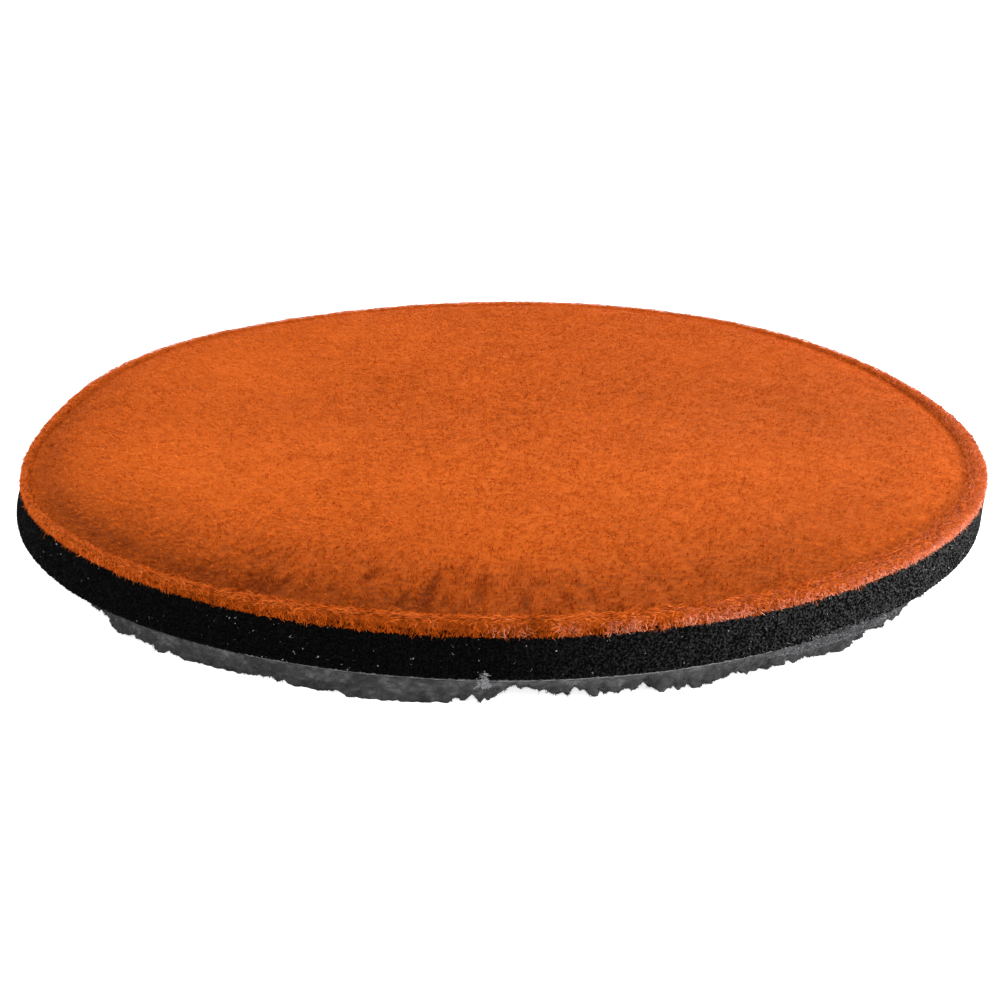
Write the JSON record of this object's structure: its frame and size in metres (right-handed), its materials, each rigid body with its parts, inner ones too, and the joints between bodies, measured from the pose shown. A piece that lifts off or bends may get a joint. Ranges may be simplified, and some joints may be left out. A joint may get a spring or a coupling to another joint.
{
  "type": "polishing pad",
  "caption": "Round flat polishing pad: short velvet pile face on a foam core, with a loop-nap backing that grips a hook-faced backing plate.",
  "frame": {"origin": "centre of the underside of the loop nap, which is the bottom of the pad", "axes": "+Z along the pad's axis, out of the working face; X and Y are free, because the pad is round"},
  "size_m": [0.13, 0.13, 0.011],
  "materials": {
    "velvet": "short crushed microfibre velvet pile, orange, matte with a soft sheen",
    "ground_cloth": "fine warp knit, pale salmon, matte",
    "bond_film": "thin melted foam skin, whitish, satin",
    "foam": "open-cell polyurethane foam, black, cut matte side",
    "loop_knit": "fine warp knit, grey, matte",
    "loop_nap": "brushed polyester loop nap, grey, ragged and matte"
  },
  "bodies": {
    "root": {"loop_pile": "loop_nap", "loop_base_knit": "loop_knit", "backing_bond_film": "bond_film", "foam_core": "foam", "face_bond_film": "bond_film", "velvet_ground_cloth": "ground_cloth", "velvet_pile": "velvet"}
  },
  "joints": []
}
